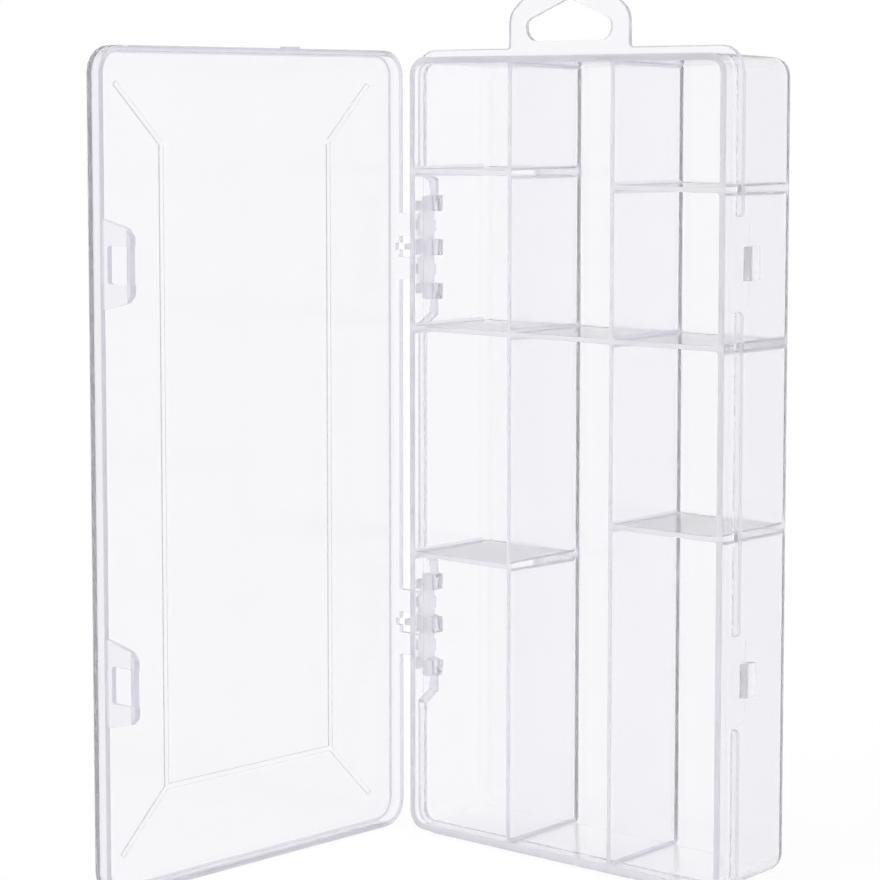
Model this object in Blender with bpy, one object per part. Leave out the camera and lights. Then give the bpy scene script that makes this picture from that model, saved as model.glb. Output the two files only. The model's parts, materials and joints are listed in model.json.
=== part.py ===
"""Small parts box: a clear ten-cell tray with a hang tab, and a hinged lid with two snap latches.

Both mouldings are drawn in the box's own directions: x runs from the hinge side to the latch side,
y is the depth behind the tray's front rim and z runs up the box from the flange's lower edge. The
lid is drawn shut and is then swung open about its hinge. All lengths are in metres.
"""

import math

import bmesh
import bpy
from mathutils import Matrix, Vector

# Tray shell and flange
box_width = 0.107
box_height = 0.210
tray_depth = 0.0293
flange_overhang = 0.0019
flange_setback = 0.0045
flange_thickness = 0.0012
flange_corner_radius = 0.0067
wall_thickness = 0.0018
floor_thickness = 0.0013
wall_draft = 0.0008
floor_fillet = 0.0026
rim_edge_radius = 0.0003

# Hang tab on the flange's upper edge, and its peg hole: place, then from the root or foot upward
hang_tab_place = 0.0523
hang_tab_width = 0.0395
hang_tab_root_radius = 0.0008
hang_tab_shoulder_rise = 0.0089
hang_tab_shoulder_radius = 0.0058
hang_tab_top_width = 0.0225
hang_tab_top_radius = 0.0050
hang_tab_rise = 0.0160
hang_hole_gap = 0.0018
hang_hole_width = 0.0279
hang_hole_foot_radius = 0.0034
hang_hole_shoulder_rise = 0.0052
hang_hole_shoulder_radius = 0.0024
hang_hole_crown_radius = 0.0040
hang_hole_rise = 0.0106

# Compartments: divider sizes, and how far each cross divider lies below the flange's upper edge
divider_thickness = 0.0013
divider_draft = 0.0002
cell_corner_radius = 0.0008
cell_fillet = 0.0012
upper_left_level = 0.0318
upper_right_level = 0.0349
middle_level = 0.0732
lower_left_level = 0.1336
lower_right_level = 0.1197

# Hinges: hooks on the tray hold a pin that is moulded on the lid
hinge_outset = 0.0016
hinge_depth = 0.0098
hinge_lift = 0.0018
hinge_offset = 0.0510
hook_width = 0.0042
hook_spacing = 0.01175
hook_radius = 0.0031
hook_arm_front = 0.0012
hook_arm_back = 0.0021
hook_tip_width = 0.0017
hook_taper_length = 0.0050
hook_slot_width = 0.0021
hook_rib_thickness = 0.0016
hook_rib_reach = 0.0050
hook_rib_lead = 0.0026
hook_rib_foot = 0.0016
pin_radius = 0.0012
pin_clearance = 0.0003
pin_end_inset = 0.0003
barrel_radius = 0.0020
barrel_end_gap = 0.0003
barrel_band_rise = 0.0004
barrel_band_length = 0.0027
leaf_width = 0.0060
leaf_sink = 0.0004
shelf_lift = 0.0008
jog_front_length = 0.0403
jog_back_length = 0.0350

# Lid
lid_thickness = 0.0012
lid_skirt_thickness = 0.0014
lid_skirt_gap = 0.0010
lid_rim_clearance = 0.0003
lid_edge_radius = 0.0007
lid_inner_fillet = 0.0005
rib_height = 0.00045
rib_width = 0.0013
rib_inset = 0.0240
rib_end_inset = 0.0090
skirt_notch_width = 0.0019
skirt_notch_depth = 0.0016
nub_place = 0.0400
nub_length = 0.0048
nub_rise = 0.0005
nub_depth = 0.0026
lid_open_angle = math.radians(90)

# Latches: sprung tabs on the lid, each with a window that drops over a lug on the tray
latch_lift = 0.0009
latch_offset = 0.0513
tab_length = 0.0160
tab_root_gap = 0.0003
tab_root_width = 0.0220
tab_shoulder_width = 0.0180
tab_shoulder_run = 0.0018
tab_tip_width = 0.0142
tab_corner_radius = 0.0016
tab_bar_run = 0.0013
tab_bar_proud = 0.0003
tab_tip_recess = 0.0002
window_start = 0.0074
window_length = 0.0072
window_height = 0.0093
window_corner_radius = 0.0007
lug_height = 0.0085
lug_length = 0.0050
lug_proud = 0.0015
lug_ramp = 0.0014
lug_edge_radius = 0.0005
lug_clearance = 0.0003
latch_notch_height = 0.0230
latch_notch_radius = 0.0012
pad_end_height = 0.0204
pad_depth = 0.0102

# Clear plastic with a faint lavender tint, as each moulding shows it
plastic_roughness = 0.12
tray_tint = (0.90, 0.90, 0.96)
lid_tint = (0.92, 0.92, 0.97)
latch_tab_tint = (0.88, 0.89, 0.95)

# How far cutters run past what they cut, and how finely round forms are divided
overrun = 0.0020
corner_steps = 5
edge_steps = 2
fillet_steps = 3
round_steps = 28

# Places that follow from the sizes above
box_middle = box_height / 2
flange_back = flange_setback + flange_thickness
rim_corner_radius = flange_corner_radius - flange_overhang
latch_face = box_width - flange_overhang
inside_wall = flange_overhang + wall_thickness / 2
cell_edge = flange_overhang + wall_thickness
column_width = (box_width - 2 * cell_edge - 2 * divider_thickness) / 3
hinge_levels = (box_middle + hinge_lift - hinge_offset, box_middle + hinge_lift + hinge_offset)
latch_levels = (box_middle + latch_lift - latch_offset, box_middle + latch_lift + latch_offset)
shelf_front = hinge_depth - shelf_lift
hook_group_half = hook_spacing + hook_width / 2
lid_outside = -lid_rim_clearance - lid_thickness
skirt_edge = flange_setback - lid_skirt_gap
tab_root = skirt_edge + tab_root_gap
tab_tip = lid_outside + tab_length
window_front = lid_outside + window_start
window_back = window_front + window_length
tab_flex_x = box_width - lid_skirt_thickness / 2
tab_flex_y = (skirt_edge + tab_root) / 2
lug_back = window_back - lug_clearance


def collection(name, parent):
    made = bpy.data.collections.new(name)
    parent.children.link(made)
    return made


def clear_plastic(name, tint):
    material = bpy.data.materials.new(name)
    material.use_nodes = True
    shader = material.node_tree.nodes["Principled BSDF"]
    shader.inputs["Base Color"].default_value = (*tint, 1.0)
    shader.inputs["Roughness"].default_value = plastic_roughness
    shader.inputs["Metallic"].default_value = 0.0
    return material


def finished(name, data, home):
    """Turn bmesh data into an object in the given collection, with its faces outward."""
    bmesh.ops.recalc_face_normals(data, faces=data.faces)
    mesh = bpy.data.meshes.new(name)
    data.to_mesh(mesh)
    data.free()
    made = bpy.data.objects.new(name, mesh)
    home.objects.link(made)
    return made


def loft(name, rings, home):
    """Skin rings of as many points each, in order, and close both ends."""
    data = bmesh.new()
    rows = [[data.verts.new(point) for point in ring] for ring in rings]
    for row, following in zip(rows, rows[1:]):
        for index, corner in enumerate(row):
            other = (index + 1) % len(row)
            data.faces.new((corner, row[other], following[other], following[index]))
    data.faces.new(rows[0])
    data.faces.new(rows[-1])
    return finished(name, data, home)


def prism(name, outline, low, high, axis, home):
    """Extrude an outline of (y, z), (x, z) or (x, y) points along x, y or z, from low to high."""
    order = {"x": (2, 0, 1), "y": (0, 2, 1), "z": (0, 1, 2)}[axis]
    data = bmesh.new()
    corners = [data.verts.new([(*point, low)[place] for place in order]) for point in outline]
    face = data.faces.new(corners)
    grown = bmesh.ops.extrude_face_region(data, geom=[face])["geom"]
    far_corners = [item for item in grown if isinstance(item, bmesh.types.BMVert)]
    travel = Vector([(0, 0, high - low)[place] for place in order])
    bmesh.ops.translate(data, verts=far_corners, vec=travel)
    return finished(name, data, home)


def block(name, low, high, home):
    data = bmesh.new()
    bmesh.ops.create_cube(data, size=1)
    size = [top - bottom for bottom, top in zip(low, high)]
    middle = [(top + bottom) / 2 for bottom, top in zip(low, high)]
    placing = Matrix.Translation(middle) @ Matrix.Diagonal((*size, 1))
    bmesh.ops.transform(data, matrix=placing, verts=data.verts)
    return finished(name, data, home)


def upright_rod(name, radius, low, high, home):
    """A cylinder on the hinge's axis."""
    placing = Matrix.Translation((-hinge_outset, hinge_depth, (low + high) / 2))
    data = bmesh.new()
    bmesh.ops.create_cone(
        data,
        cap_ends=True,
        segments=round_steps,
        radius1=radius,
        radius2=radius,
        depth=high - low,
        matrix=placing,
    )
    return finished(name, data, home)


def rounded_corner(corner, before, after, radius):
    """Points of the arc that rounds one corner of an outline, tangent to both of its sides."""
    corner = Vector(corner)
    back = (Vector(before) - corner).normalized()
    ahead = (Vector(after) - corner).normalized()
    half_angle = back.angle(ahead) / 2
    reach = radius / math.tan(half_angle)
    middle = corner + (back + ahead).normalized() * (radius / math.sin(half_angle))
    start = corner + back * reach - middle
    end = corner + ahead * reach - middle
    turn = math.atan2(start.cross(end), start.dot(end))
    points = []
    for step in range(corner_steps + 1):
        spin = Matrix.Rotation(turn * step / corner_steps, 2)
        points.append(middle + spin @ start)
    return points


def rounded_polygon(corners, radii):
    """A closed outline with each corner rounded by its own radius, or left sharp at zero."""
    points = []
    for index, (corner, radius) in enumerate(zip(corners, radii)):
        before = corners[index - 1]
        after = corners[(index + 1) % len(corners)]
        if radius > 0:
            points.extend(rounded_corner(corner, before, after, radius))
        else:
            points.append(Vector(corner))
    return points


def drawn_in(outline, inset):
    """Move each point of an anticlockwise outline inward, square to the sides beside it."""
    points = []
    for index, point in enumerate(outline):
        before = outline[index - 1]
        after = outline[(index + 1) % len(outline)]
        first = (point - before).normalized()
        second = (after - point).normalized()
        normal = (Vector((-first.y, first.x)) + Vector((-second.y, second.x))).normalized()
        points.append(point + normal * inset / normal.dot(Vector((-first.y, first.x))))
    return points


def part_beyond(outline, limit):
    """The part of an outline that lies past a limit in its first direction."""
    kept = []
    for index, point in enumerate(outline):
        before = outline[index - 1]
        if (before.x < limit) != (point.x < limit):
            kept.append(before.lerp(point, (limit - before.x) / (point.x - before.x)))
        if point.x >= limit:
            kept.append(point)
    return kept


def quarter_turn(radius, steps):
    """Inward and along distances round an edge, from the flat face to the side."""
    angles = [math.radians(90 * step / steps) for step in range(steps + 1)]
    return [(radius * (1 - math.sin(angle)), radius * (1 - math.cos(angle))) for angle in angles]


def soft_plate(name, outline, front, back, edge, home):
    """A plate with the given outline in x and z, its rim rounded on both faces."""
    turn = quarter_turn(edge, edge_steps)
    rings = [(inward, front + along) for inward, along in turn]
    rings += [(inward, back - along) for inward, along in reversed(turn)]
    placed = []
    for inward, depth in rings:
        placed.append([Vector((point.x, depth, point.y)) for point in drawn_in(outline, inward)])
    return loft(name, placed, home)


def moulded_block(name, sides, drafts, radii, rings, depth, home):
    """A drafted block with rounded corners: rings of (inset, run) from its mouth to its end.

    sides and drafts are for left, right, low and high, radii for the corners from the lower left,
    and depth holds the places of the mouth and of the end.
    """
    mouth, end = depth
    placed = []
    for inset, run in rings:
        share = max(run / abs(end - mouth), 0)
        left, right, low, high = (
            side + sign * (inset + draft * share)
            for side, draft, sign in zip(sides, drafts, (1, -1, 1, -1))
        )
        corners = ((left, low), (right, low), (right, high), (left, high))
        drawn_radii = [max(radius - inset, rim_edge_radius) for radius in radii]
        place = mouth + run * (1 if end > mouth else -1)
        outline = rounded_polygon(corners, drawn_radii)
        placed.append([Vector((point.x, place, point.y)) for point in outline])
    return loft(name, placed, home)


def far_fillet(depth, fillet):
    """Rings that round the far end of a block, from its sides to its flat end."""
    return [(inward, depth - along) for inward, along in reversed(quarter_turn(fillet, fillet_steps))]


def outer_rings(depth, edge, fillet):
    """Rings of a solid with a rounded rim and a filleted far end."""
    return quarter_turn(edge, edge_steps) + far_fillet(depth, fillet)


def core_rings(depth, edge, fillet):
    """Rings of a hollow: it flares round its rim, and is filleted at its floor."""
    mouth = [(-inward, along) for inward, along in quarter_turn(edge, edge_steps)]
    return [(-edge, -overrun)] + mouth + far_fillet(depth, fillet)


def boolean(target, operation, forms):
    """Join the target with every form of a collection, or cut it by them."""
    change = target.modifiers.new(forms.name, "BOOLEAN")
    change.operation = operation
    change.operand_type = "COLLECTION"
    change.collection = forms
    change.solver = "EXACT"
    for form in forms.objects:
        form.parent = target
        form.hide_render = True
        form.display_type = "WIRE"


def flange_plate(home):
    """The flange, notched for the latches, and its hang tab as one plate, still without its hollows."""
    notches = []
    for level in latch_levels:
        low, high = level - latch_notch_height / 2, level + latch_notch_height / 2
        notches.append(((box_width, low), latch_notch_radius))
        notches.append(((latch_face, low), 0))
        notches.append(((latch_face, high), 0))
        notches.append(((box_width, high), latch_notch_radius))
    tab_right = (
        ((hang_tab_width / 2, 0), hang_tab_root_radius),
        ((hang_tab_width / 2, hang_tab_shoulder_rise), hang_tab_shoulder_radius),
        ((hang_tab_top_width / 2, hang_tab_rise), hang_tab_top_radius),
    )
    tab_left = tuple(((-x, rise), radius) for (x, rise), radius in reversed(tab_right))
    tab = [((hang_tab_place + x, box_height + rise), radius) for (x, rise), radius in tab_right + tab_left]
    foot = [((0, 0), flange_corner_radius), ((box_width, 0), flange_corner_radius)]
    head = [((box_width, box_height), flange_corner_radius)]
    last = [((0, box_height), flange_corner_radius)]
    corners, radii = zip(*(foot + notches + head + tab + last))
    outline = rounded_polygon(corners, radii)
    return soft_plate("tray", outline, flange_setback, flange_back, rim_edge_radius, home)


def hang_hole(home):
    """The peg hole: a wide flat foot, short upright sides and a low pointed crown, all rounded."""
    half = hang_hole_width / 2
    points = (
        ((-half, 0), hang_hole_foot_radius),
        ((half, 0), hang_hole_foot_radius),
        ((half, hang_hole_shoulder_rise), hang_hole_shoulder_radius),
        ((0, hang_hole_rise), hang_hole_crown_radius),
        ((-half, hang_hole_shoulder_rise), hang_hole_shoulder_radius),
    )
    foot = box_height + hang_hole_gap
    corners = [(hang_tab_place + x, foot + rise) for (x, rise), radius in points]
    outline = rounded_polygon(corners, [radius for place, radius in points])
    prism("hang_hole_cutter", outline, flange_setback - overrun, flange_back + overrun, "y", home)


def hinge_gap(level, home):
    """A gap through the flange beside a hinge."""
    half = jog_front_length / 2
    low = (-overrun, flange_setback - overrun, level - half)
    high = (flange_overhang, flange_back + overrun, level + half)
    block("hinge_gap_cutter", low, high, home)


def shell_block(home):
    """The tray's drafted outside, still solid."""
    sides = (flange_overhang, latch_face, flange_overhang, box_height - flange_overhang)
    rings = outer_rings(tray_depth, rim_edge_radius, floor_fillet)
    drafts = (wall_draft,) * 4
    radii = (rim_corner_radius,) * 4
    moulded_block("shell_form", sides, drafts, radii, rings, (0, tray_depth), home)


def cells(home):
    """One drafted core for each compartment; the dividers are what stands between them."""
    level_lists = (
        (upper_left_level, middle_level, lower_left_level),
        (middle_level,),
        (upper_right_level, middle_level, lower_right_level),
    )
    depth = tray_depth - floor_thickness
    rings = core_rings(depth, rim_edge_radius, cell_fillet)
    corner_outside = rim_corner_radius - wall_thickness
    for column, levels in enumerate(level_lists):
        left = cell_edge + column * (column_width + divider_thickness)
        right = left + column_width
        middles = [box_height - level for level in reversed(levels)]
        lows = [cell_edge] + [middle + divider_thickness / 2 for middle in middles]
        highs = [middle - divider_thickness / 2 for middle in middles] + [box_height - cell_edge]
        for row, (low, high) in enumerate(zip(lows, highs)):
            at_wall = (column == 0, column == 2, row == 0, row == len(middles))
            drafts = [wall_draft if beside else divider_draft for beside in at_wall]
            at_corner = [at_wall[side] and at_wall[end] for side, end in ((0, 2), (1, 2), (1, 3), (0, 3))]
            radii = [corner_outside if beside else cell_corner_radius for beside in at_corner]
            sides = (left, right, low, high)
            moulded_block(f"cell_core_{column}_{row}", sides, drafts, radii, rings, (0, depth), home)


def hinge_shelf(level, home):
    """The flange's dip beside one hinge: sloped ends that lead down to a deeper shelf."""
    front_half, back_half = jog_front_length / 2, jog_back_length / 2
    shelf_back = shelf_front + flange_thickness
    for side in (-1, 1):
        outline = (
            (flange_setback, level + side * (front_half + overrun)),
            (flange_setback, level + side * front_half),
            (shelf_front, level + side * back_half),
            (shelf_front, level + side * hook_spacing),
            (shelf_back, level + side * hook_spacing),
            (shelf_back, level + side * (back_half + flange_thickness / 2)),
            (flange_back, level + side * (front_half + flange_thickness / 2)),
            (flange_back, level + side * (front_half + overrun)),
        )
        prism("shelf_form", outline, 0, inside_wall, "x", home)


def hinge_hooks(level, home):
    """Three hooks that stand out from the side wall, the middle one with a small outer rib."""
    for step in (-1, 0, 1):
        low = level + step * hook_spacing - hook_width / 2
        high = low + hook_width
        upright_rod("hook_eye_form", hook_radius, low, high, home)
        arm_low = (-hinge_outset, hinge_depth - hook_arm_front, low)
        arm_high = (inside_wall + wall_draft, hinge_depth + hook_arm_back, high)
        block("hook_arm_form", arm_low, arm_high, home)
    rib = (
        (-hinge_outset, hinge_depth - hook_rib_foot),
        (-hinge_outset - hook_rib_reach, hinge_depth - hook_rib_lead),
        (-hinge_outset - hook_rib_reach, hinge_depth - hook_rib_lead / 2),
        (-hinge_outset - hook_radius / 2, hinge_depth + hook_rib_foot),
        (-hinge_outset, hinge_depth + hook_rib_foot),
    )
    low = level - hook_rib_thickness / 2
    prism("hook_rib_form", rib, low, low + hook_rib_thickness, "z", home)


def hook_hollows(level, home):
    """The pin's bore, the slot that the pin snaps in by, and the slopes of the outer hooks."""
    low, high = level - hook_group_half - overrun, level + hook_group_half + overrun
    upright_rod("hook_bore_cutter", pin_radius + pin_clearance, low, high, home)
    front, back = hinge_depth - hook_radius - overrun, hinge_depth + hook_radius + overrun
    slot_low = (-hinge_outset - hook_slot_width / 2, front, low)
    slot_high = (-hinge_outset + hook_slot_width / 2, hinge_depth, high)
    block("hook_slot_cutter", slot_low, slot_high, home)
    tip = -hinge_outset - hook_radius
    root = tip + hook_taper_length
    slope = (hook_width - hook_tip_width) / hook_taper_length
    for side in (-1, 1):
        face = level + side * hook_group_half
        outline = (
            (root, face),
            (tip - overrun, face - side * slope * (hook_taper_length + overrun)),
            (tip - overrun, face + side * overrun),
            (root, face + side * overrun),
        )
        prism("hook_slope_cutter", outline, front, back, "y", home)


def latch_lug(level, home):
    """The flat landing behind a latch notch, and the ramped lug that the tab's window catches."""
    notch_half, end_half = latch_notch_height / 2, pad_end_height / 2
    landing = (
        (flange_setback / 2, level - notch_half),
        (flange_back, level - notch_half),
        (pad_depth, level - end_half),
        (pad_depth, level + end_half),
        (flange_back, level + notch_half),
        (flange_setback / 2, level + notch_half),
    )
    inside = box_width - inside_wall - wall_draft
    prism("latch_landing_form", landing, inside, latch_face, "x", home)
    lug_front = lug_back - lug_length
    section = (
        (inside, lug_front),
        (latch_face, lug_front),
        (latch_face + lug_proud, lug_front + lug_ramp),
        (latch_face + lug_proud, lug_back),
        (inside, lug_back),
    )
    outline = rounded_polygon(section, (0, 0, lug_edge_radius, lug_edge_radius, 0))
    low = level - lug_height / 2
    prism("latch_lug_form", outline, low, low + lug_height, "z", home)


def build_tray(home, forms):
    """The tray moulding: flange with hang tab, drafted shell, hooks and lugs, ten cells."""
    gaps = collection("tray_flange_gaps", forms)
    fittings = collection("tray_shell_and_fittings", forms)
    hollows = collection("tray_hollows", forms)
    tray = flange_plate(home)
    hang_hole(gaps)
    shell_block(fittings)
    cells(hollows)
    for level in hinge_levels:
        hinge_gap(level, gaps)
        hinge_shelf(level, fittings)
        hinge_hooks(level, fittings)
        hook_hollows(level, hollows)
    for level in latch_levels:
        latch_lug(level, fittings)
    boolean(tray, "DIFFERENCE", gaps)
    boolean(tray, "UNION", fittings)
    boolean(tray, "DIFFERENCE", hollows)
    return tray


def lid_ribs(home):
    """Raised stiffening ribs on the lid's outside: a rectangle with a spur from each corner."""
    front, back = lid_outside - rib_height, lid_outside + lid_thickness / 2
    half = rib_width / 2
    left, right = rib_inset, box_width - rib_inset
    low, high = rib_inset, box_height - rib_inset
    for x in (left, right):
        block("rib_form", (x - half, front, low - half), (x + half, back, high + half), home)
    for z in (low, high):
        block("rib_form", (left - half, front, z - half), (right + half, back, z + half), home)
    for x, x_end in ((left, rib_end_inset), (right, box_width - rib_end_inset)):
        for z, z_end in ((low, rib_end_inset), (high, box_height - rib_end_inset)):
            start, end = Vector((x, z)), Vector((x_end, z_end))
            across = (end - start).orthogonal().normalized() * half
            spur = (start + across, end + across, end - across, start - across)
            prism("rib_form", spur, front, back, "y", home)


def lid_hinge(level, home):
    """The pin between the hooks, with two barrels on leaves that continue the lid's skirt."""
    reach = hook_group_half - pin_end_inset
    upright_rod("pin_form", pin_radius, level - reach, level + reach, home)
    barrel_half = (hook_spacing - hook_width) / 2 - barrel_end_gap
    for side in (-1, 1):
        middle = level + side * hook_spacing / 2
        upright_rod("barrel_form", barrel_radius, middle - barrel_half, middle + barrel_half, home)
        band_half = barrel_band_length / 2
        band_radius = barrel_radius + barrel_band_rise
        upright_rod("barrel_band_form", band_radius, middle - band_half, middle + band_half, home)
        low = (0, skirt_edge - lid_skirt_thickness, middle - leaf_width / 2)
        high = (lid_skirt_thickness, hinge_depth - leaf_sink, middle + leaf_width / 2)
        block("leaf_form", low, high, home)


def build_lid(home, forms):
    """The lid moulding: panel and skirt, outer ribs, hinge leaves with their pins, edge nub."""
    fittings = collection("lid_fittings", forms)
    hollows = collection("lid_hollows", forms)
    sides = (0, box_width, 0, box_height)
    depth = skirt_edge - lid_outside
    radii = (flange_corner_radius,) * 4
    rings = outer_rings(depth, rim_edge_radius, lid_edge_radius)
    lid = moulded_block("lid", sides, (0,) * 4, radii, rings, (skirt_edge, lid_outside), home)
    inner_sides = (
        lid_skirt_thickness,
        box_width - lid_skirt_thickness,
        lid_skirt_thickness,
        box_height - lid_skirt_thickness,
    )
    inner_radii = (flange_corner_radius - lid_skirt_thickness,) * 4
    inner_depth = (skirt_edge, lid_outside + lid_thickness)
    rings = core_rings(depth - lid_thickness, rim_edge_radius, lid_inner_fillet)
    moulded_block("lid_core", inner_sides, (0,) * 4, inner_radii, rings, inner_depth, hollows)
    lid_ribs(fittings)
    nub_middle = (skirt_edge + lid_outside) / 2
    nub_low = (nub_place - nub_length / 2, nub_middle - nub_depth / 2, box_height - lid_skirt_thickness / 2)
    nub_high = (nub_place + nub_length / 2, nub_middle + nub_depth / 2, box_height + nub_rise)
    block("nub_form", nub_low, nub_high, fittings)
    notch_front = skirt_edge - skirt_notch_depth
    for level in hinge_levels:
        lid_hinge(level, fittings)
        notch_low = (-overrun, notch_front, level - skirt_notch_width / 2)
        notch_high = (lid_skirt_thickness + overrun, skirt_edge + overrun, level + skirt_notch_width / 2)
        block("skirt_notch_cutter", notch_low, notch_high, hollows)
    boolean(lid, "DIFFERENCE", hollows)
    boolean(lid, "UNION", fittings)
    return lid


def build_latch_tab(name, level, home, forms):
    """A latch tab: a tapered tongue with a window, and a thicker bar with a shallow dip at its tip."""
    bars = collection(f"{name}_bar", forms)
    hollows = collection(f"{name}_hollows", forms)
    root_half, shoulder_half, tip_half = tab_root_width / 2, tab_shoulder_width / 2, tab_tip_width / 2
    shoulder = tab_tip - tab_shoulder_run
    corners = (
        (tab_root, level - root_half),
        (shoulder, level - shoulder_half),
        (tab_tip, level - tip_half),
        (tab_tip, level + tip_half),
        (shoulder, level + shoulder_half),
        (tab_root, level + root_half),
    )
    radii = (0,) + (tab_corner_radius,) * 4 + (0,)
    outline = rounded_polygon(corners, radii)
    inner_face = box_width - lid_skirt_thickness
    tab = prism(name, outline, inner_face, box_width, "x", home)
    bar_outline = part_beyond(outline, tab_tip - tab_bar_run)
    bar_middle = box_width - lid_skirt_thickness / 2
    prism("tip_bar_form", bar_outline, bar_middle, box_width + tab_bar_proud, "x", bars)
    window_half = window_height / 2
    window = (
        (window_front, level - window_half),
        (window_back, level - window_half),
        (window_back, level + window_half),
        (window_front, level + window_half),
    )
    window_outline = rounded_polygon(window, (window_corner_radius,) * 4)
    left, right = inner_face - overrun, box_width + overrun
    prism("window_cutter", window_outline, left, right, "x", hollows)
    recess_low = (left, tab_tip - tab_tip_recess, level - window_half)
    recess_high = (right, tab_tip + overrun, level + window_half)
    block("tip_recess_cutter", recess_low, recess_high, hollows)
    boolean(tab, "UNION", bars)
    boolean(tab, "DIFFERENCE", hollows)
    return tab


def pivot(name, place, parent, home):
    """An empty at a place in the parent's own directions, for pieces that turn about it."""
    made = bpy.data.objects.new(name, None)
    made.location = place
    made.parent = parent
    home.objects.link(made)
    return made


def hang_on(piece, axis, place):
    """Carry a piece by an axis whose place in the box's directions is given."""
    piece.parent = axis
    piece.location = -Vector(place)


def main():
    for item in list(bpy.data.objects):
        bpy.data.objects.remove(item, do_unlink=True)
    home = collection("small_parts_box", bpy.context.scene.collection)
    forms = collection("small_parts_box_forms", bpy.context.scene.collection)

    lid_low_x = -hinge_outset - (hinge_depth - lid_outside + rib_height)
    lid_low_y = hinge_depth - (box_width + tab_bar_proud + hinge_outset)
    middle = Vector(((box_width + lid_low_x) / 2, (tray_depth + lid_low_y) / 2, 0))
    hinge_place = Vector((-hinge_outset, hinge_depth, 0))
    box_origin = pivot("box_origin", -middle, None, home)
    hinge_axis = pivot("lid_hinge_axis", hinge_place, box_origin, home)
    hinge_axis.rotation_euler.z = -lid_open_angle

    pieces = [build_tray(home, forms)]
    pieces[0].parent = box_origin
    lid = build_lid(home, forms)
    hang_on(lid, hinge_axis, hinge_place)
    pieces.append(lid)
    for name, level in zip(("lower", "upper"), latch_levels):
        flex_place = Vector((tab_flex_x, tab_flex_y, level))
        flex_axis = pivot(f"{name}_latch_axis", flex_place - hinge_place, hinge_axis, home)
        tab = build_latch_tab(f"{name}_latch_tab", level, home, forms)
        hang_on(tab, flex_axis, flex_place)
        pieces.append(tab)

    tints = (tray_tint, lid_tint, latch_tab_tint, latch_tab_tint)
    for piece, tint in zip(pieces, tints):
        piece.data.materials.append(clear_plastic(f"{piece.name}_plastic", tint))


main()
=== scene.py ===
"""Looks of the small parts box: clear moulded plastic in soft studio light, as in the photograph.

Each solid of the frame is replaced by a copy of itself with smooth rounds, in three clear
materials: the wide panels, the narrow edge faces in a darker grey of painted shade, and the cloudy
hinge parts.
"""

import json
import math

import bmesh
import bpy
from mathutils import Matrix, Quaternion, Vector
from mathutils.bvhtree import BVHTree


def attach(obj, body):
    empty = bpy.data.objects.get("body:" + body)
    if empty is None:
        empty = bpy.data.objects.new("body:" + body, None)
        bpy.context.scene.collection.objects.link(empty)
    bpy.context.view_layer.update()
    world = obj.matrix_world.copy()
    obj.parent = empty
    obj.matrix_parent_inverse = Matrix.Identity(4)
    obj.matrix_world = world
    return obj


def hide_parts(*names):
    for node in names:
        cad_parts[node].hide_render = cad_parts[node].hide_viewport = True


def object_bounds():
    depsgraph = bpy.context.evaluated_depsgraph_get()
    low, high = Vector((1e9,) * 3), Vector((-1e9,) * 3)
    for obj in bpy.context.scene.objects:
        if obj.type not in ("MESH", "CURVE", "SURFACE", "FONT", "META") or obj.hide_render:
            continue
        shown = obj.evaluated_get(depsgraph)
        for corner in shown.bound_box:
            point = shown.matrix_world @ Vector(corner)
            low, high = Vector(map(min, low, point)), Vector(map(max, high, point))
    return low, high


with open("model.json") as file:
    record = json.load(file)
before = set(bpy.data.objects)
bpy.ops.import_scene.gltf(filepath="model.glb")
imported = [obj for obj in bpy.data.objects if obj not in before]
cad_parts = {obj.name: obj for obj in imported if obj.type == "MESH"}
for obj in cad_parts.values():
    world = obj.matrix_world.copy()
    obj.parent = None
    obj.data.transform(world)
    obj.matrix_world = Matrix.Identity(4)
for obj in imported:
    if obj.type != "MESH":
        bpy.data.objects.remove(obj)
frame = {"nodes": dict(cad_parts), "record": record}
cad_low, cad_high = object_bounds()

# Camera, fitted to the photograph's edges: it looks down a little from beside the open tray
camera_place = (0.4655, -0.5148, 0.1947)
camera_yaw = math.radians(42.26)
camera_pitch = math.radians(5.26)
camera_lens = 116.04
camera_shift = -0.080

# Clear plastic of every kind
plastic_ior = 1.49
flow_detail = 3.0
ripple_height = 0.001

# Panels: the share of light that passes, tints, the range of roughness, and the surface's flow marks
panel_clearness = 0.955
panel_tints = ((0.962, 0.958, 0.982), (0.974, 0.970, 0.992))
panel_roughness = (0.11, 0.14)
panel_flow_scale = 55.0
panel_ripple = 0.01

# Edges: painted shade; they pass less light and scatter the rest in a darker lavender grey that varies
# a little, standing in for the light bent away in the plastic's thickness
painted_edge_clearness = 0.45
painted_edge_greys = ((0.86, 0.845, 0.91), (0.92, 0.905, 0.965))
edge_roughness = (0.10, 0.15)
edge_flow_scale = 420.0
edge_ripple = 0.05

# Thick hinge parts, within this reach of the hinge's axis, look paler and cloudier
fitting_clearness = 0.6
fitting_tints = ((0.93, 0.925, 0.95), (0.97, 0.965, 0.985))
fitting_roughness = (0.12, 0.15)
hinge_reach = 0.0034

# An edge, which gets the painted shade, is a narrow face that ends a thin plate, or a strip of a small
# round or step
widest_edge = 0.0030
widest_strip = 0.0005
least_depth = 0.0011
thickest_plate = 0.0022
probe_depth = 0.0010
probe_turns = 8
ray_start = 0.00002
ray_length = 0.060

# The rounds between the tray's walls and its floor lie within this much of its back, and stay clear
floor_rounds = 0.0030

# Smooth shading: flat faces are welded whole, and larger faces set the shading of the rounds
smooth_angle = math.radians(32)
flat_angle = math.radians(0.5)
weld_distance = 0.000005
flat_face_weight = 100

# Studio: a floor and a room that look white, and light the box less brightly than they look
white = (1.0, 1.0, 1.0, 1.0)
floor_half_width = 3.0
floor_drop = 0.0002
floor_white = (0.80, 0.80, 0.80, 1.0)
floor_glow = 0.86
floor_shade = (0.16, 0.16, 0.16, 1.0)
room_light = 0.64
shown_light = 1.0
light_bounces = 128

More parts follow.
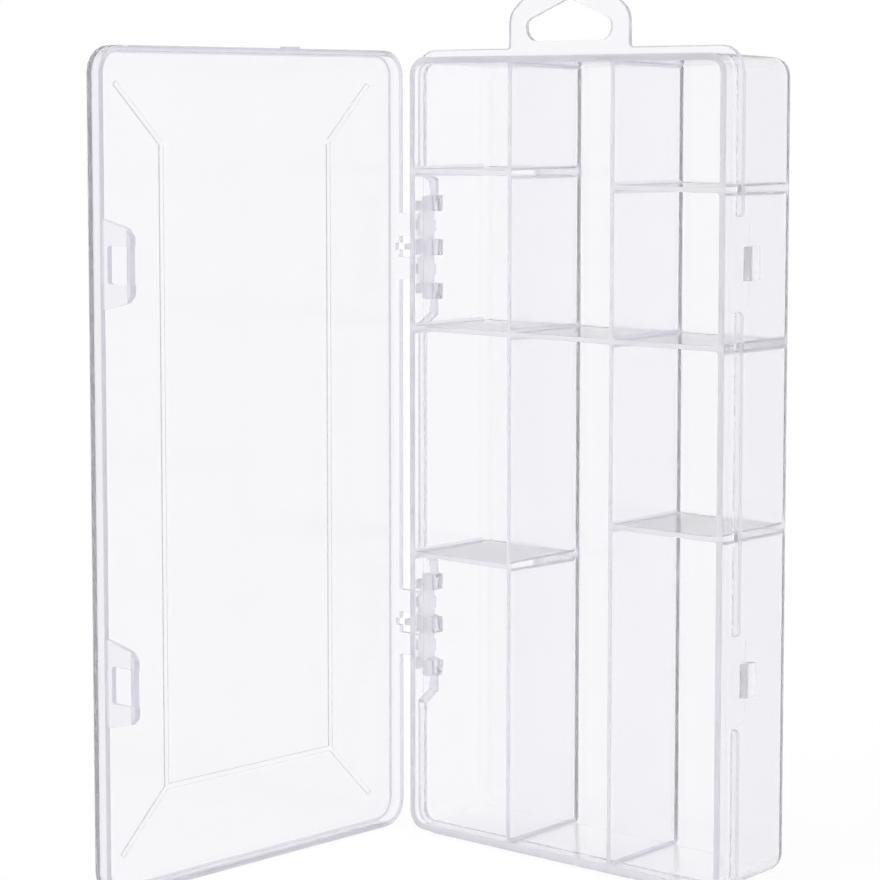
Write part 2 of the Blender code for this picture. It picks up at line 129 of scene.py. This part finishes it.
# Lamps: height above the horizon, turn about the box, and strength
lamp_spread = math.radians(50)
lamps = {
    "key_lamp": (math.radians(55), math.radians(-20), 0.6),
    "fill_lamp": (math.radians(50), math.radians(75), 0.3),
}


def new_material(name):
    """An empty node material, with its nodes and links."""
    material = bpy.data.materials.new(name)
    material.use_nodes = True
    material.node_tree.nodes.clear()
    return material, material.node_tree.nodes, material.node_tree.links


def plastic(name, clearness, tints, roughness, flow_scale, ripple_strength):
    """Polypropylene: clear or partly scattering, its tint, gloss and surface varied by one noise."""
    material, nodes, links = new_material(name)
    output = nodes.new("ShaderNodeOutputMaterial")
    shader = nodes.new("ShaderNodeBsdfPrincipled")
    shader.inputs["IOR"].default_value = plastic_ior
    shader.inputs["Transmission Weight"].default_value = clearness
    place = nodes.new("ShaderNodeTexCoord")
    flow = nodes.new("ShaderNodeTexNoise")
    flow.inputs["Scale"].default_value = flow_scale
    flow.inputs["Detail"].default_value = flow_detail
    tint = nodes.new("ShaderNodeMix")
    tint.data_type = "RGBA"
    tint.inputs["A"].default_value = (*tints[0], 1.0)
    tint.inputs["B"].default_value = (*tints[1], 1.0)
    gloss = nodes.new("ShaderNodeMapRange")
    gloss.inputs["To Min"].default_value = roughness[0]
    gloss.inputs["To Max"].default_value = roughness[1]
    ripple = nodes.new("ShaderNodeBump")
    ripple.inputs["Strength"].default_value = ripple_strength
    ripple.inputs["Distance"].default_value = ripple_height
    links.new(place.outputs["Object"], flow.inputs["Vector"])
    links.new(flow.outputs["Fac"], tint.inputs["Factor"])
    links.new(flow.outputs["Fac"], gloss.inputs["Value"])
    links.new(flow.outputs["Fac"], ripple.inputs["Height"])
    links.new(tint.outputs["Result"], shader.inputs["Base Color"])
    links.new(gloss.outputs["Result"], shader.inputs["Roughness"])
    links.new(ripple.outputs["Normal"], shader.inputs["Normal"])
    links.new(shader.outputs["BSDF"], output.inputs["Surface"])
    return material


def plate_thickness(tree, place, normal):
    """The least width of the plastic round a place inside it, square to the normal."""
    widths = []
    for step in range(probe_turns):
        across = Quaternion(normal, math.pi * step / probe_turns) @ normal.orthogonal()
        ways = [tree.ray_cast(place, way, ray_length)[3] for way in (across, -across)]
        widths.append(sum(way or ray_length for way in ways))
    return min(widths)


def is_edge(tree, face, triangles):
    """Whether a face is a very narrow strip, or a narrow face with a thin plate behind most of it."""
    width = 2 * face.calc_area() / face.calc_perimeter()
    if width > widest_edge or width < widest_strip:
        return width < widest_strip
    total = 0
    plate_like = 0
    for first, second, third in triangles:
        area = (second - first).cross(third - first).length / 2
        middle = (first + second + third) / 3
        total += area
        depth = tree.ray_cast(middle - face.normal * ray_start, -face.normal, ray_length)[3] or 0
        if depth < least_depth:
            continue
        if plate_thickness(tree, middle - face.normal * probe_depth, face.normal) < thickest_plate:
            plate_like += area
    return plate_like > total / 2


def mark_faces(data, hinge_place, names):
    """Give each face its material: hinge part near the hinge's axis, edge with painted shade, or panel.
    """
    tree = BVHTree.FromBMesh(data)
    triangles = {}
    for corners in data.calc_loop_triangles():
        triangles.setdefault(corners[0].face, []).append([corner.vert.co for corner in corners])
    for face, parts in triangles.items():
        middle = face.calc_center_median()
        if (middle - hinge_place).xy.length < hinge_reach:
            face.material_index = names.index("hinge_parts")
        # Narrow edge faces get the painted shade: a darker, less clear grey
        elif middle.y < cad_high.y - floor_rounds and is_edge(tree, face, parts):
            face.material_index = names.index("painted_shade_edges")


def dress(node, body, hinge_place, materials):
    """Replace a solid by a copy with whole flat faces, smooth rounds and marked faces."""
    data = bmesh.new()
    data.from_mesh(node.data)
    bmesh.ops.remove_doubles(data, verts=data.verts, dist=weld_distance)
    bmesh.ops.dissolve_limit(data, angle_limit=flat_angle, verts=data.verts, edges=data.edges)
    mark_faces(data, hinge_place, list(materials))
    for face in data.faces:
        face.smooth = True
    for edge in data.edges:
        edge.smooth = edge.calc_face_angle(0) < smooth_angle
    mesh = bpy.data.meshes.new(f"{node.name}_moulding")
    data.to_mesh(mesh)
    data.free()
    for material in materials.values():
        mesh.materials.append(material)
    piece = bpy.data.objects.new(f"{node.name}_moulding", mesh)
    bpy.context.scene.collection.objects.link(piece)
    flattening = piece.modifiers.new("flat_faces_stay_flat", "WEIGHTED_NORMAL")
    flattening.mode = "FACE_AREA"
    flattening.weight = flat_face_weight
    flattening.keep_sharp = True
    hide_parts(node.name)
    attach(piece, body)


def dress_box():
    """Dress all the bodies of the box."""
    kinds = {
        "clear_panels": (panel_clearness, panel_tints, panel_roughness, panel_flow_scale, panel_ripple),
        # Edges: painted shade, darker and less clear than the panels
        "painted_shade_edges": (painted_edge_clearness, painted_edge_greys, edge_roughness, edge_flow_scale, edge_ripple),
        "hinge_parts": (
            fitting_clearness, fitting_tints, fitting_roughness, edge_flow_scale, edge_ripple
        ),
    }
    materials = {name: plastic(name, *values) for name, values in kinds.items()}
    behaviour = frame["record"]["behaviour"]
    hinge = next(joint for joint in behaviour["joints"] if joint["name"] == "lid_hinge")
    hinge_place = Vector(hinge["pos_m"])
    for body, members in behaviour["bodies"].items():
        for member in members:
            dress(frame["nodes"][member], body, hinge_place, materials)


def add_camera():
    """The camera of the photograph."""
    data = bpy.data.cameras.new("photo_camera")
    data.lens = camera_lens
    data.shift_y = camera_shift
    camera = bpy.data.objects.new("photo_camera", data)
    camera.location = camera_place
    camera.rotation_euler = (math.pi / 2 - camera_pitch, 0, camera_yaw)
    bpy.context.scene.collection.objects.link(camera)
    bpy.context.scene.camera = camera


def when_seen(nodes, links, lighting, shown):
    """One shader for the light that a surface gives, another where it is seen, also through plastic."""
    path = nodes.new("ShaderNodeLightPath")
    seen = nodes.new("ShaderNodeMath")
    seen.operation = "MAXIMUM"
    mix = nodes.new("ShaderNodeMixShader")
    links.new(path.outputs["Is Camera Ray"], seen.inputs[0])
    links.new(path.outputs["Is Transmission Ray"], seen.inputs[1])
    links.new(seen.outputs["Value"], mix.inputs["Fac"])
    links.new(lighting.outputs[0], mix.inputs[1])
    links.new(shown.outputs[0], mix.inputs[2])
    return mix.outputs["Shader"]


def add_world():
    """A soft white room all round."""
    world = bpy.data.worlds.new("studio")
    bpy.context.scene.world = world
    world.use_nodes = True
    nodes, links = world.node_tree.nodes, world.node_tree.links
    nodes.clear()
    output = nodes.new("ShaderNodeOutputWorld")
    room = nodes.new("ShaderNodeBackground")
    room.inputs["Color"].default_value = white
    room.inputs["Strength"].default_value = room_light
    shown = nodes.new("ShaderNodeBackground")
    shown.inputs["Color"].default_value = white
    shown.inputs["Strength"].default_value = shown_light
    links.new(when_seen(nodes, links, room, shown), output.inputs["Surface"])


def add_floor():
    """A pale floor: white where it is seen, with a share of it in real light, so that shadows stay."""
    place = (0, 0, cad_low.z - floor_drop)
    bpy.ops.mesh.primitive_plane_add(size=2 * floor_half_width, location=place)
    floor = bpy.context.object
    floor.name = "studio_floor"
    material, nodes, links = new_material("studio_floor")
    output = nodes.new("ShaderNodeOutputMaterial")
    lighting = nodes.new("ShaderNodeBsdfDiffuse")
    lighting.inputs["Color"].default_value = floor_white
    shaded = nodes.new("ShaderNodeBsdfDiffuse")
    shaded.inputs["Color"].default_value = floor_shade
    glow = nodes.new("ShaderNodeEmission")
    glow.inputs["Strength"].default_value = floor_glow
    shown = nodes.new("ShaderNodeAddShader")
    links.new(shaded.outputs["BSDF"], shown.inputs[0])
    links.new(glow.outputs["Emission"], shown.inputs[1])
    links.new(when_seen(nodes, links, lighting, shown), output.inputs["Surface"])
    floor.data.materials.append(material)


def add_lamp(name, height, turn, strength):
    """A wide, soft, far lamp at that height and turn, which only lights, and isn't seen in plastic."""
    data = bpy.data.lights.new(name, "SUN")
    data.energy = strength
    data.angle = lamp_spread
    lamp = bpy.data.objects.new(name, data)
    lamp.rotation_euler = (math.pi / 2 - height, 0, turn)
    lamp.visible_glossy = False
    lamp.visible_transmission = False
    bpy.context.scene.collection.objects.link(lamp)


def set_picture():
    """Plain colours, and enough unsoftened bounces for light that is caught in the plastic."""
    scene = bpy.context.scene
    scene.view_settings.view_transform = "Standard"
    scene.cycles.max_bounces = light_bounces
    scene.cycles.diffuse_bounces = light_bounces
    scene.cycles.transmission_bounces = light_bounces
    scene.cycles.glossy_bounces = light_bounces
    scene.cycles.blur_glossy = 0.0


dress_box()
add_camera()
add_world()
add_floor()
for name, (height, turn, strength) in lamps.items():
    add_lamp(name, height, turn, strength)
set_picture()
